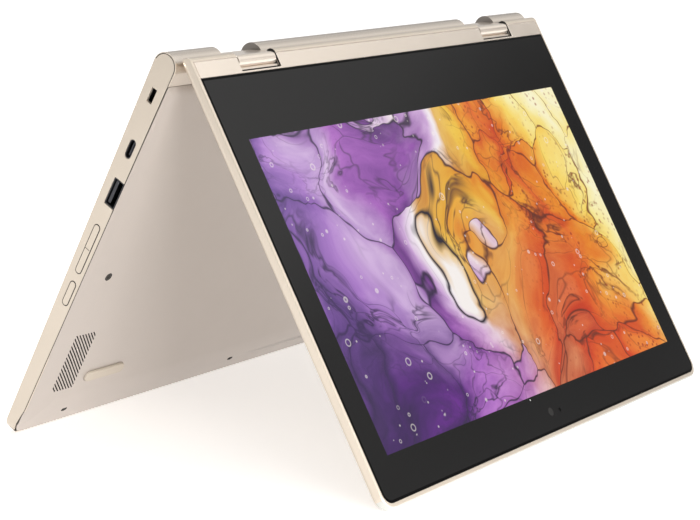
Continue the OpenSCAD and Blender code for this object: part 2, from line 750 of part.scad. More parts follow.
module lid_back_cover() color("antiquewhite") in_lid() {
    difference() {
        intersection() {
            across(-lid_w / 2, lid_w / 2) lid_side_outline();
            along(-lid_len, lid_back) lid_end_outline();
            translate([0, 0, -20]) linear_extrude(40) lid_plan();
        }
        // Seat of the glass and the hollow behind it
        translate([0, 0, lid_face - 1.15]) linear_extrude(5) glass_plan(0.15);
        box(-glass_x + 1, glass_x - 1, -glass_y1 + 1, -glass_y0 - 0.8, lid_z0 + lid_skin, 20);
        // Seat of the trim and the hinge channel behind it
        box(-glass_x - 0.15, glass_x + 0.15, -glass_y0 - 1, trim_y, lid_face - trim_t, 20);
        both_sides() box(notch_x1 + 0.8, 127, -glass_y0 - 2, 0.5, -1.6, 20);
        shell_notches();
        lid_hinge_room();
    }
    both_sides() for (p = lid_leaf_screws) lid_boss(p[0], p[1]);
}

module hinge_trim() color("antiquewhite") in_lid() difference() {
    box(-glass_x, glass_x, -glass_y0 + 0.1, trim_y - 0.05, lid_face - trim_t, lid_face);
    trim_notches();
}

module touch_glass() color([0.1, 0.1, 0.1]) in_lid()
    translate([0, 0, lid_face - 1.1]) linear_extrude(1) glass_plan();

lcd_z1 = lid_face - 1.1;
lcd_t = 2.1;

module lcd_panel() color("midnightblue") in_lid()
    box(-active_w / 2 - 4, active_w / 2 + 4, -active_y0 - active_h - 7, -active_y0 + 3,
        lcd_z1 - lcd_t, lcd_z1);

camera_y = -189.8;

module camera_module() color("black") in_lid() {
    box(-30, 30, camera_y - 1.9, camera_y + 1.6, -0.6, 0.2);
    translate([0, camera_y, 0.2]) cylinder(r = 1.6, h = lcd_z1 - 0.2);
    translate([-12, camera_y, 0.2]) cylinder(r = 0.5, h = lcd_z1 - 0.2);
}

module microphones() color("silver") in_lid() for (x = [-45, 45])
    box(x - 2, x + 2, camera_y - 1.5, camera_y + 1.5, 0.6, lcd_z1);

module lid_hinge(side) color("silver") in_lid() mirror([side < 0 ? 1 : 0, 0, 0]) difference() {
    union() {
        rod(shaft_x0, shaft_x1, shaft_r);
        box(114.2, shaft_x1, -28, 0, -0.5, 0.5);
    }
    for (p = lid_leaf_screws) translate([p[0], p[1], -10]) cylinder(r = screw_r + 0.1, h = 20);
}

module lid_hinge_left() lid_hinge(-1);
module lid_hinge_right() lid_hinge(1);

module lid_hinge_screws() color("dimgray") in_lid() both_sides() for (p = lid_leaf_screws)
    translate([p[0], p[1], -1.7]) {
        cylinder(r = screw_r, h = 2.9);
        translate([0, 0, 2.2]) cylinder(r = 1.4, h = 0.6);
    }

module display_cable() color("black") in_lid() {
    box(60, 76, -33, -30, -1.5, 0.3);
    box(66, 70, -30, -8, -1.5, -1.1);
}

module antennas() color("peru") in_lid() both_sides()
    box(20, 58, -29, -10, -1.7, -1.2);

module lid_magnets() color("silver") in_lid() both_sides()
    box(96, 108, -glass_y1 + 2.2, -glass_y1 + 5.2, -1.4, 1.4);

top_case();
bottom_cover();
cover_screws();
front_feet();
rear_foot();
keyboard_grid();
keyboard_plate();
keyboard_membrane();
function_keys();
number_keys();
upper_keys();
home_keys();
lower_keys();
bottom_keys();
space_bar();
arrow_keys();
touchpad();
touchpad_bracket();
mainboard();
mainboard_chips();
io_board();
heat_spreader();
battery_tray();
battery_cells();
speaker_left();
speaker_right();
usb_c_right();
usb_a_right();
usb_c_left();
usb_a_left();
audio_jack();
card_slot();
lock_plate();
power_button();
volume_rocker();
button_board();
wireless_card();
base_hinge_left();
base_hinge_right();
base_hinge_screws();
hinge_cap_left();
hinge_cap_right();
hinge_links();
friction_washers();
lid_back_cover();
hinge_trim();
touch_glass();
lcd_panel();
camera_module();
microphones();
lid_hinge_left();
lid_hinge_right();
lid_hinge_screws();
display_cable();
antennas();
lid_magnets();
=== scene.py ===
import json
import math

import bmesh
import bpy
from mathutils import Matrix, Vector


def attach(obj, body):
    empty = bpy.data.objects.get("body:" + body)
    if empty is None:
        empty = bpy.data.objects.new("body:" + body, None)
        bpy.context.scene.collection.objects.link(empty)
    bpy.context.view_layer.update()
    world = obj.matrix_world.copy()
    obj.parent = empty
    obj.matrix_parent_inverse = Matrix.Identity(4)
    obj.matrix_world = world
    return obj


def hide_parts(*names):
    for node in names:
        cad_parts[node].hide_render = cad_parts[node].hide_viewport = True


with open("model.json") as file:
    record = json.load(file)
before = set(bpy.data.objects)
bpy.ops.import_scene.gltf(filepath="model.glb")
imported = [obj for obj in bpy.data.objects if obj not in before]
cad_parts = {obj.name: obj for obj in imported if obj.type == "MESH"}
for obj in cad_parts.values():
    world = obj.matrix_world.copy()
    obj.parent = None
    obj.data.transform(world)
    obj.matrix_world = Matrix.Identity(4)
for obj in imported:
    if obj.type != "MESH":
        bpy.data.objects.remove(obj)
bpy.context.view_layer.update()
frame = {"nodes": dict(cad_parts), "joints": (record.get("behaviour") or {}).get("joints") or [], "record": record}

# ---------------------------------------------------------------- frames
# Lengths below are in metres. Each part of the laptop is drawn flat in its own frame:
#   lid: x to the viewer's right, y towards the hinge, z out of the display
#   base: x to the user's right, y to the rear, z up; deck: the same, on the sloping deck
BASE_HALF = 0.145
AXIS_Z = 0.0066
SPINE_R = 0.0062
SEAM_R = 0.0056
DECK_SLOPE = math.radians(1.36)
SEAM_Z = 0.0012
FRONT_Z = 0.0031
LID_HALF = 0.1434
LID_LEN = 0.2012
LID_FACE = 0.0031
LID_T = 0.006
LID_R = 0.003
RIM_R = 0.0008
GLASS_HALF = 0.1419
GLASS_NEAR = 0.0065
GLASS_FAR = 0.1988
GLASS_R = 0.005
GLASS_GAP = 0.00015
SEAT_DEPTH = 0.00115
ACTIVE_W = 0.2561
ACTIVE_H = 0.1441
ACTIVE_NEAR = 0.036
CAP_X = 0.099
CAP_HALF = 0.0131
CAP_R = 0.0031
CAP_GAP = 0.0007
NOTCH = 0.0055

hinges = {j["name"]: j for j in frame["joints"]}
base_axis = Vector(hinges["base_hinge"]["pos_m"])
lid_axis = Vector(hinges["lid_hinge"]["pos_m"])
raised = math.pi / 2 - math.radians(hinges["base_hinge"]["range_deg"][1])
lean = math.atan2(base_axis.z - lid_axis.z, base_axis.y - lid_axis.y)


def turn(angle, axis):
    return Matrix.Rotation(angle, 4, axis)


def shift(x, y, z):
    return Matrix.Translation((x, y, z))


LINK = Matrix.Translation(lid_axis) @ turn(lean, "X")
LID = LINK @ turn(raised, "X")
BASE_HINGE = Matrix.Translation(base_axis) @ turn(lean, "X") @ turn(math.pi, "Z")
BASE = BASE_HINGE @ turn(raised, "X") @ shift(0, 0, -AXIS_Z)
DECK = BASE @ shift(0, 0, AXIS_Z) @ turn(DECK_SLOPE, "X") @ shift(0, 0, SPINE_R)

# ---------------------------------------------------------------- node helpers


class Nodes:
    """Builds a node tree. An input given as a node's output is linked."""

    def __init__(self, tree):
        self.tree = tree

    def set(self, node, **inputs):
        for key, value in inputs.items():
            socket = node.inputs[key if key in node.inputs else key.replace("_", " ")]
            if isinstance(value, bpy.types.NodeSocket):
                self.tree.links.new(value, socket)
            else:
                socket.default_value = value
        return node

    def add(self, kind, out=0, props=None, **inputs):
        node = self.tree.nodes.new("ShaderNode" + kind)
        for key, value in (props or {}).items():
            setattr(node, key, value)
        self.set(node, **inputs)
        return node.outputs[out]

    def math(self, operation, a, b=0.0, c=0.0):
        node = self.tree.nodes.new("ShaderNodeMath")
        node.operation = operation
        for socket, value in zip(node.inputs, (a, b, c)):
            if isinstance(value, bpy.types.NodeSocket):
                self.tree.links.new(value, socket)
            else:
                socket.default_value = value
        return node.outputs[0]

    def vec(self, operation, a, b=(0, 0, 0), scale=1.0):
        node = self.tree.nodes.new("ShaderNodeVectorMath")
        node.operation = operation
        second = (node.inputs[3], scale) if operation == "SCALE" else (node.inputs[1], b)
        for socket, value in ((node.inputs[0], a), second):
            if isinstance(value, bpy.types.NodeSocket):
                self.tree.links.new(value, socket)
            else:
                socket.default_value = value
        return node.outputs[0]

    def coords(self, scale=(1, 1, 1), location=(0, 0, 0)):
        place = self.add("TexCoord", out="Object")
        return self.add("Mapping", Vector=place, Scale=scale, Location=location)

    def noise(self, vector, scale, detail=2.0, roughness=0.5, out="Factor"):
        node = self.tree.nodes.new("ShaderNodeTexNoise")
        self.set(node, Vector=vector, Scale=scale, Detail=detail, Roughness=roughness)
        return node.outputs["Color" if out == "Color" else 0]

    def ramp(self, factor, stops):
        node = self.tree.nodes.new("ShaderNodeValToRGB")
        ramp = node.color_ramp
        while len(ramp.elements) < len(stops):
            ramp.elements.new(0.5)
        for element, (place, colour) in zip(ramp.elements, stops):
            element.position = place
            element.color = (*colour, 1)
        self.tree.links.new(factor, node.inputs[0])
        return node.outputs[0]

    def mix(self, factor, a, b, blend="MIX"):
        node = self.tree.nodes.new("ShaderNodeMix")
        node.data_type = "RGBA"
        node.blend_type = blend
        for socket, value in ((node.inputs[0], factor), (node.inputs[6], a), (node.inputs[7], b)):
            if isinstance(value, bpy.types.NodeSocket):
                self.tree.links.new(value, socket)
            else:
                socket.default_value = value if isinstance(value, (int, float)) else (*value[:3], 1)
        return node.outputs[2]

    def between(self, value, low, high, to_low=0.0, to_high=1.0):
        limits = {"From Min": low, "From Max": high, "To Min": to_low, "To Max": to_high}
        return self.add("MapRange", Value=value, **limits)


class Surface(Nodes):
    """A new material and its node tree."""

    def __init__(self, name):
        self.mat = bpy.data.materials.new(name)
        self.mat.use_nodes = True
        super().__init__(self.mat.node_tree)
        self.shader = self.tree.nodes["Principled BSDF"]

    def bump(self, height, strength, distance):
        self.set(self.shader, Normal=self.add("Bump", Strength=strength, Distance=distance, Height=height))


def srgb(r, g, b):
    """0-255 screen values to the linear values that shaders use."""
    return tuple((c / 255 / 12.92) if c <= 10 else ((c / 255 + 0.055) / 1.055) ** 2.4 for c in (r, g, b))


def paint(name, colour, metallic=0.45, roughness=0.36, flake=0.04, tint=0.04, grain=0.06):
    """Satin metallic paint: fine flakes, a slow drift of tone and slightly uneven gloss."""
    n = Surface(name)
    at = n.coords()
    drift = n.noise(at, 9.0, 3.0)
    flakes = n.noise(at, 5200.0, 1.0)
    dark = tuple(c * (1 - tint) for c in colour)
    light = tuple(min(1, c * (1 + tint)) for c in colour)
    base = n.mix(drift, dark, light)
    sparkle = n.between(flakes, 0.25, 0.75, 1 - flake, 1 + flake)
    base = n.mix(1.0, base, n.add("CombineColor", Red=sparkle, Green=sparkle, Blue=sparkle), "MULTIPLY")
    smear = n.noise(at, 60.0, 4.0, 0.6)
    n.set(
        n.shader,
        **{
            "Base Color": base,
            "Metallic": metallic,
            "Roughness": n.between(smear, 0.3, 0.7, roughness - 0.03, roughness + 0.04),
        },
    )
    if grain:
        n.bump(flakes, grain, 0.00004)
    return n.mat


def moulded(name, colour, roughness=0.55, grain=1600.0, depth=0.15, spec=0.5):
    """Moulded plastic or rubber with a fine etched grain."""
    n = Surface(name)
    at = n.coords()
    speck = n.noise(at, grain, 2.0)
    drift = n.noise(at, 30.0, 2.0)
    base = n.mix(drift, tuple(c * 0.92 for c in colour), tuple(min(1, c * 1.06) for c in colour))
    uneven = n.between(speck, 0.3, 0.7, roughness - 0.06, roughness + 0.06)
    n.set(n.shader, **{"Base Color": base, "Roughness": uneven})
    n.shader.inputs["Specular IOR Level"].default_value = spec
    n.bump(speck, depth, 0.00006)
    return n.mat


def metal(name, colour, roughness=0.28, stretch=(1, 40, 40)):
    """Bare metal with fine drawing lines along x."""
    n = Surface(name)
    at = n.coords(scale=stretch)
    lines = n.noise(at, 90.0, 3.0, 0.6)
    base = n.mix(lines, tuple(c * 0.82 for c in colour), colour)
    uneven = n.between(lines, 0.2, 0.8, roughness - 0.06, roughness + 0.1)
    n.set(n.shader, **{"Base Color": base, "Metallic": 1.0, "Roughness": uneven})
    n.bump(lines, 0.08, 0.00005)
    return n.mat


def gloss_black(name, level=0.005, roughness=0.045, spec=0.26):
    """Cover glass printed black from behind, with faint smears in its gloss."""
    n = Surface(name)
    at = n.coords()
    smear = n.noise(at, 22.0, 4.0, 0.6)
    dark = (level * 0.9, level * 0.88, level * 0.9)
    light = (level * 1.1, level * 1.05, level * 1.08)
    base = n.mix(smear, dark, light)
    uneven = n.between(smear, 0.3, 0.7, roughness, roughness + 0.03)
    n.set(n.shader, **{"Base Color": base, "Roughness": uneven})
    n.shader.inputs["Specular IOR Level"].default_value = spec
    return n.mat


def wallpaper(name):
    """Flowing inks on the lit panel, a pattern of this script's own: violet to gold, veins and droplets."""
    n = Surface(name)
    aspect = ACTIVE_W / ACTIVE_H
    unit = 1 / ACTIVE_H
    at = n.coords(
        scale=(unit, unit, unit),
        location=(aspect / 2, (ACTIVE_NEAR + ACTIVE_H) * unit, 0),
    )
    at = n.vec("MULTIPLY", at, (1, 1, 0))
    swirl = n.vec("SUBTRACT", n.noise(at, 1.35, 2.0, 0.45, out="Color"), (0.5, 0.5, 0.5))
    slow = n.vec("ADD", at, n.vec("SCALE", swirl, scale=1.15))
    curl = n.vec("SUBTRACT", n.noise(slow, 3.1, 3.0, 0.5, out="Color"), (0.5, 0.5, 0.5))
    flow = n.vec("ADD", slow, n.vec("SCALE", curl, scale=0.34))
    parts = n.add("SeparateXYZ", Vector=flow)
    height = parts.node.outputs["Y"]
    # Petals: cells of ink, each with its own tone
    petal = n.tree.nodes.new("ShaderNodeTexVoronoi")
    n.set(petal, Vector=flow, Scale=2.6)
    own = n.add("SeparateColor", Color=petal.outputs["Color"])
    to_edge = {"feature": "DISTANCE_TO_EDGE"}
    edge = n.add("TexVoronoi", out="Distance", props=to_edge, Vector=flow, Scale=2.6)
    tilt = n.math("MULTIPLY", n.math("SUBTRACT", height, 0.5), 0.10)
    across = n.math("ADD", n.math("DIVIDE", parts, aspect), tilt)
    tone = n.math("ADD", across, n.math("MULTIPLY", n.math("SUBTRACT", own, 0.5), 0.13))
    colour = n.ramp(
        tone,
        [
            (0.00, srgb(128, 84, 170)),
            (0.10, srgb(176, 128, 206)),
            (0.19, srgb(216, 188, 228)),
            (0.25, srgb(168, 98, 190)),
            (0.33, srgb(138, 72, 164)),
            (0.40, srgb(214, 180, 224)),
            (0.445, srgb(248, 240, 244)),
            (0.475, srgb(226, 176, 90)),
            (0.56, srgb(240, 190, 60)),
            (0.64, srgb(240, 160, 40)),
            (0.72, srgb(222, 98, 28)),
            (0.79, srgb(238, 150, 30)),
            (0.87, srgb(252, 222, 110)),
            (0.94, srgb(253, 240, 170)),
            (1.00, srgb(254, 246, 200)),
        ],
    )
    lower = n.ramp(
        tone,
        [
            (0.00, srgb(66, 14, 104)),
            (0.16, srgb(100, 26, 138)),
            (0.27, srgb(178, 112, 200)),
            (0.40, srgb(206, 150, 200)),
            (0.50, srgb(222, 170, 160)),
            (0.60, srgb(216, 140, 96)),
            (0.70, srgb(226, 92, 26)),
            (0.80, srgb(240, 150, 50)),
            (0.90, srgb(252, 226, 140)),
        ],
    )
    colour = n.mix(n.between(height, 0.12, 0.58), lower, colour)
    wash = n.noise(flow, 5.5, 6.0, 0.62)
    colour = n.mix(n.between(wash, 0.35, 0.75, 0.0, 0.45), colour, (1.0, 0.95, 0.9), "SOFT_LIGHT")
    colour = n.mix(n.between(wash, 0.30, 0.62, 0.55, 0.0), colour, n.mix(1.0, colour, colour, "MULTIPLY"))
    # Pigment gathers towards the rim of each petal and dries there as a dark line
    pooled = n.mix(1.0, colour, colour, "MULTIPLY")
    colour = n.mix(n.between(edge, 0.0, 0.16, 0.6, 0.0), colour, pooled)
    vein_colour = n.ramp(
        across,
        [
            (0.00, srgb(52, 24, 84)),
            (0.45, srgb(36, 18, 40)),
            (0.60, srgb(96, 34, 14)),
            (1.00, srgb(120, 50, 18)),
        ],
    )
    width = n.between(n.noise(at, 4.2, 2.0), 0.35, 0.62, 0.004, 0.026)
    vein = n.math("DIVIDE", edge, width)
    colour = n.mix(n.between(vein, 0.2, 1.0, 0.92, 0.0), colour, vein_colour)
    ridge = n.math("ABSOLUTE", n.math("SUBTRACT", n.noise(flow, 1.9, 5.0, 0.55), 0.5))
    fade = n.between(n.noise(at, 2.6, 2.0), 0.40, 0.56)
    colour = n.mix(n.math("MULTIPLY", n.between(ridge, 0.0, 0.012, 0.9, 0.0), fade), colour, vein_colour)
    thread = n.add("TexVoronoi", out="Distance", props=to_edge, Vector=flow, Scale=6.5)
    colour = n.mix(n.math("MULTIPLY", n.between(thread, 0.0, 0.03, 0.6, 0.0), fade), colour, vein_colour)
    # Fine dark stipple where the ink is red
    stipple = n.add("TexVoronoi", out="Distance", Vector=at, Scale=46.0)
    red = n.math("MULTIPLY", n.between(across, 0.55, 0.70), n.between(wash, 0.45, 0.60))
    dotted = n.math("MULTIPLY", n.between(stipple, 0.18, 0.34, 0.7, 0.0), red)
    colour = n.mix(dotted, colour, srgb(150, 30, 12))
    # A dark bloom with a pale heart near the middle
    middle = n.vec("DISTANCE", flow, (0.74, 0.52, 0)).node.outputs["Value"]
    colour = n.mix(n.between(middle, 0.10, 0.05), colour, srgb(250, 244, 240))
    collar = n.math("MULTIPLY", n.between(middle, 0.125, 0.105), n.between(middle, 0.085, 0.10))
    colour = n.mix(collar, colour, srgb(30, 18, 34))
    # Droplets: small rings with a lighter rim
    for size, share, width in ((17.0, 0.30, 0.05), (34.0, 0.24, 0.07)):
        spots = n.tree.nodes.new("ShaderNodeTexVoronoi")
        n.set(spots, Vector=at, Scale=size, Randomness=1.0)
        chosen = n.add("SeparateColor", Color=spots.outputs["Color"])
        keep = n.between(chosen, 1 - share, 1 - share + 0.02)
        radius = n.math("MULTIPLY", chosen.node.outputs["Green"], 0.22)
        rim = n.math("ABSOLUTE", n.math("SUBTRACT", spots.outputs["Distance"], radius))
        ring = n.math("MULTIPLY", n.between(rim, 0.0, width, 0.55, 0.0), keep)
        colour = n.mix(ring, colour, (1.0, 0.92, 0.88))
    unlit = n.mix(wash, (0.004, 0.004, 0.005), (0.006, 0.006, 0.007))
    n.set(n.shader, **{"Base Color": unlit, "Roughness": 0.05, "Emission Color": colour})
    n.shader.inputs["Emission Strength"].default_value = 0.92
    return n.mat


SHELL = srgb(214, 202, 187)
# The cover's champagne is drawn darker and greyer than the shell's: painted shade for the underside, which faces
# in under the raised lid.
COVER_PAINTED_SHADE = srgb(196, 188, 182)
SPINE = srgb(214, 204, 193)
HINGE = srgb(236, 224, 211)
M = {
    "shell": paint("champagne_paint", SHELL, metallic=0.6, roughness=0.32),
    "cover": paint("champagne_cover_painted_shade", COVER_PAINTED_SHADE, metallic=0.6, roughness=0.32, flake=0.03),
    "spine": paint("champagne_spine", SPINE, metallic=0.9, roughness=0.17, flake=0.0, grain=0.0),
    # Dark grey painted shade: on the end faces of the spine's notches beside the caps, and as a line round each
    # foot.
    "grey_painted_shade": paint("notch_and_foot_painted_shade", srgb(136, 130, 124), metallic=0.5),
    # A neutral grey copy of the shell paint for the lid's far end in place of champagne: painted light for how
    # light falls on that end.
    "rim": paint("lid_far_end_painted_light", srgb(206, 206, 201), metallic=0.6, roughness=0.3),
    "hinge": paint("champagne_hinge", HINGE, metallic=0.75, roughness=0.22, flake=0.02, grain=0.03),
    "deck": paint("champagne_deck", SHELL, metallic=0.4, roughness=0.38),
    "pad": paint("pad_film", srgb(224, 207, 190), metallic=0.25, roughness=0.30, flake=0.02),
    "foot": moulded("foot_rubber", srgb(188, 178, 165), roughness=0.62),
    "key": moulded("keycap_plastic", srgb(176, 163, 152), roughness=0.5, grain=2400.0, depth=0.1),
    "legend": moulded("legend_print", srgb(250, 246, 240), roughness=0.6, depth=0.02),
    "black": moulded("black_plastic", (0.012, 0.012, 0.013), roughness=0.45),
    # Near black: the camera lens and the seam lines, and painted shade on the walls of the lid's notches, the
    # speaker slots, the screw holes and recesses, and round the buttons.
    "near_black_and_painted_shade": moulded("near_black_and_recess_shade", (0.006, 0.0055, 0.005), roughness=0.8),
    "steel": metal("stamped_steel", (0.60, 0.59, 0.57)),
    # Port shells, the lock plate and the card slot are drawn almost black: painted shade inside the openings.
    "port": metal("port_steel_painted_shade", (0.10, 0.10, 0.11), roughness=0.4),
    "lamp": moulded("indicator", (0.55, 0.55, 0.54), roughness=0.3, depth=0.02),
    "screw": metal("screw_oxide", (0.10, 0.095, 0.09), roughness=0.35),
    "bronze": metal("friction_bronze", (0.55, 0.40, 0.22)),
    "copper": metal("copper_sheet", (0.72, 0.38, 0.22)),
    "can": metal("pressed_can", (0.75, 0.75, 0.76)),
    "board": moulded("solder_mask", (0.02, 0.10, 0.05), roughness=0.35, grain=900.0),
    "silicone": moulded("silicone", (0.62, 0.62, 0.60), roughness=0.5),
    "wrap": moulded("cell_wrap", (0.03, 0.03, 0.034), roughness=0.4, grain=300.0),
    "glass": gloss_black("printed_glass"),
    "outline": gloss_black("glass_edge_black", level=0.001, roughness=0.3, spec=0.05),
    "window": wallpaper("ink_wallpaper"),
}

# ---------------------------------------------------------------- mesh helpers

SMOOTH = math.radians(32)


def place(obj, body, mats, slot=None, nodes=(), matrix=None, smooth=SMOOTH):
    """Links an object, sets its materials and its smoothing, and puts it on its body."""
    if obj.name not in bpy.context.scene.collection.objects:
        bpy.context.scene.collection.objects.link(obj)
    faces = [p.material_index for p in obj.data.polygons]
    obj.data.materials.clear()
    for m in mats:
        obj.data.materials.append(M[m])
    for p, index in zip(obj.data.polygons, faces):
        p.material_index = min(index, len(mats) - 1)
    if matrix is not None:
        obj.matrix_world = matrix
    for p in obj.data.polygons:
        p.use_smooth = True
    obj.data.set_sharp_from_angle(angle=smooth)
    weights = obj.modifiers.new("weights", "WEIGHTED_NORMAL")
    weights.keep_sharp = True
    weights.weight = 80
    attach(obj, body)
    if nodes:
        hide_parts(*nodes)
    return obj


def to_object(bm, name):
    mesh = bpy.data.meshes.new(name)
    bmesh.ops.recalc_face_normals(bm, faces=bm.faces)
    bm.to_mesh(mesh)
    bm.free()
    return bpy.data.objects.new(name, mesh)


def apply(obj, kind, **settings):
    """Adds one modifier and bakes its result into the object's mesh."""
    if obj.name not in bpy.context.scene.collection.objects:
        bpy.context.scene.collection.objects.link(obj)
    modifier = obj.modifiers.new(kind.lower(), kind)
    for key, value in settings.items():
        setattr(modifier, key, value)
    bpy.context.view_layer.update()
    evaluated = obj.evaluated_get(bpy.context.evaluated_depsgraph_get())
    mesh = bpy.data.meshes.new_from_object(evaluated)
    obj.modifiers.clear()
    old = obj.data
    obj.data = mesh
    mesh.name = obj.name
    bpy.data.meshes.remove(old)
    return obj


def cut(obj, cutter):
    """Takes a closed mesh out of another."""
    bpy.context.scene.collection.objects.link(cutter)
    apply(obj, "BOOLEAN", operation="DIFFERENCE", object=cutter, solver="EXACT")
    mesh = cutter.data
    bpy.data.objects.remove(cutter)
    bpy.data.meshes.remove(mesh)
    return obj


def tidy_mesh(obj, weld=2e-6):
    """Welds doubled corners and joins flat faces, so that bevels meet cleanly."""
    bm = bmesh.new()
    bm.from_mesh(obj.data)
    bmesh.ops.remove_doubles(bm, verts=bm.verts, dist=weld)
    bmesh.ops.dissolve_limit(
        bm, angle_limit=math.radians(0.4), verts=bm.verts, edges=bm.edges, use_dissolve_boundaries=False
    )
    bm.to_mesh(obj.data)
    bm.free()
    return obj


def soften(obj, width, segments=2, angle=40.0):
    """Small rounded edges wherever two faces meet sharply."""
    return apply(
        obj,
        "BEVEL",
        width=width,
        segments=segments,
        limit_method="ANGLE",
        angle_limit=math.radians(angle),
        use_clamp_overlap=False,
        miter_outer="MITER_SHARP",
    )


def from_cad(node, name, width=0.0, segments=2, angle=40.0, matrix=None):
    """A welded copy of a CAD node, with softened edges, drawn in the frame that matrix gives."""
    obj = bpy.data.objects.new(name, frame["nodes"][node].data.copy())
    if matrix is not None:
        obj.data.transform(matrix.inverted())
    if "custom_normal" in obj.data.attributes:
        obj.data.attributes.remove(obj.data.attributes["custom_normal"])
    tidy_mesh(obj)
    if width:
        soften(obj, width, segments, angle)
    return obj


def plan(left, right, front, rear, radii, steps=8):
    """Corner points of a rectangle with its own radius at each corner, as (x, y), going round."""
    corners = [
        (left, front, radii[0], 180),
        (right, front, radii[1], 270),
        (right, rear, radii[2], 0),
        (left, rear, radii[3], 90),
    ]
    points = []
    for (x, y, r, start), (sx, sy) in zip(corners, ((1, 1), (-1, 1), (-1, -1), (1, -1))):
        for k in range(steps + 1):
            a = math.radians(start + 90 * k / steps)
            points.append((x + sx * r + r * math.cos(a), y + sy * r + r * math.sin(a)))
    return points


def loft(name, rings, slots=None, caps=(True, True)):
    """Joins rings with the same number of points, and closes both ends."""
    bm = bmesh.new()
    rows = [[bm.verts.new(p) for p in ring] for ring in rings]
    for i, (a, b) in enumerate(zip(rows, rows[1:])):
        for k in range(len(a)):
            face = bm.faces.new((a[k], a[k - 1], b[k - 1], b[k]))
            face.material_index = slots[i] if slots else 0
    if caps[0]:
        bm.faces.new(rows[0]).material_index = slots[0] if slots else 0
    if caps[1]:
        bm.faces.new(rows[-1]).material_index = slots[-1] if slots else 0
    return to_object(bm, name)


def prism(name, outline, z0, z1, width=0.0, segments=2):
    """An outline pushed from z0 to z1, its edges rounded by width."""
    bm = bmesh.new()
    lower = [bm.verts.new((x, y, z0)) for x, y in outline]
    upper = [bm.verts.new((x, y, z1)) for x, y in outline]
    bm.faces.new(lower)
    bm.faces.new(upper)
    for k in range(len(lower)):
        bm.faces.new((lower[k - 1], lower[k], upper[k], upper[k - 1]))
    bmesh.ops.recalc_face_normals(bm, faces=bm.faces)
    if width:
        sharp = [e for e in bm.edges if e.calc_face_angle(0) > math.radians(40)]
        bmesh.ops.bevel(
            bm, geom=sharp, offset=width, segments=segments, profile=0.5, affect="EDGES", clamp_overlap=False
        )
    return to_object(bm, name)


def joined(name, objects):
    """One mesh from several."""
    bm = bmesh.new()
    for o in objects:
        o.data.transform(o.matrix_world)
        bm.from_mesh(o.data)
        mesh = o.data
        bpy.data.objects.remove(o)
        bpy.data.meshes.remove(mesh)
    mesh = bpy.data.meshes.new(name)
    bm.to_mesh(mesh)
    bm.free()
    return bpy.data.objects.new(name, mesh)


def circle(r, steps):
    """Points (x, y) going round a circle about the origin."""
    turns = [2 * math.pi * k / steps for k in range(steps)]
    return [(r * math.cos(a), r * math.sin(a)) for a in turns]


def lathe(name, profile, steps=48):
    """A profile of (radius, height) turned about z and closed at both ends."""
    rings = []
    for r, z in profile:
        rings.append([(x, y, z) for x, y in circle(r, steps)])
    return loft(name, rings)


def block(name, x0, x1, y0, y1, z0, z1):
    return prism(name, [(x0, y0), (x1, y0), (x1, y1), (x0, y1)], z0, z1)


def curve_mesh(name, curve):
    """The mesh that a curve makes. The curve itself is removed."""
    o = bpy.data.objects.new(name, curve)
    bpy.context.scene.collection.objects.link(o)
    bpy.context.view_layer.update()
    mesh = bpy.data.meshes.new_from_object(o.evaluated_get(bpy.context.evaluated_depsgraph_get()))
    bpy.data.objects.remove(o)
    bpy.data.curves.remove(curve)
    return mesh


def groove(name, points, radius):
    """A thin dark line, laid in a surface along points."""
    curve = bpy.data.curves.new(name, "CURVE")
    curve.dimensions = "3D"
    curve.bevel_depth = radius
    curve.bevel_resolution = 2
    spline = curve.splines.new("POLY")
    spline.points.add(len(points) - 1)
    for target, p in zip(spline.points, points):
        target.co = (*p, 1)
    return bpy.data.objects.new(name, curve_mesh(name, curve))


def body_of(node):
    """The body that a CAD node belongs to."""
    for body, members in frame["record"]["behaviour"]["bodies"].items():
        if node in members:
            return body
    return None


# ---------------------------------------------------------------- lid


def lid_inset(z):
    """How far the lid's side lies in from its full width at height z."""
    low = LID_FACE - LID_T + LID_R - z
    high = z - (LID_FACE - RIM_R)
    if low > 0:
        return LID_R - math.sqrt(max(0.0, LID_R**2 - low**2))
    if high > 0:
        return RIM_R - math.sqrt(max(0.0, RIM_R**2 - high**2))
    return 0.0


def lid_rear(z):
    """The rounded bar at the lid's hinge side."""
    centre = LID_FACE - LID_T + LID_R
    return 0.0013 + math.sqrt(max(0.0, LID_R**2 - (z - centre) ** 2))


def lid_ring(z):
    d = lid_inset(z)
    x = LID_HALF - d
    far = max(0.0008, 0.007 - d)
    return [(p[0], p[1], z) for p in plan(-x, x, -LID_LEN + d, lid_rear(z), (far, far, 0.0005, 0.0005), 10)]


def in_notch(p):
    """Whether a face is a wall of one of the notches round the caps."""
    across = abs(abs(p.center.x) - CAP_X)
    return p.center.y > -NOTCH - 0.0001 and across < CAP_HALF + CAP_GAP + 0.0001 and abs(p.normal.z) < 0.5


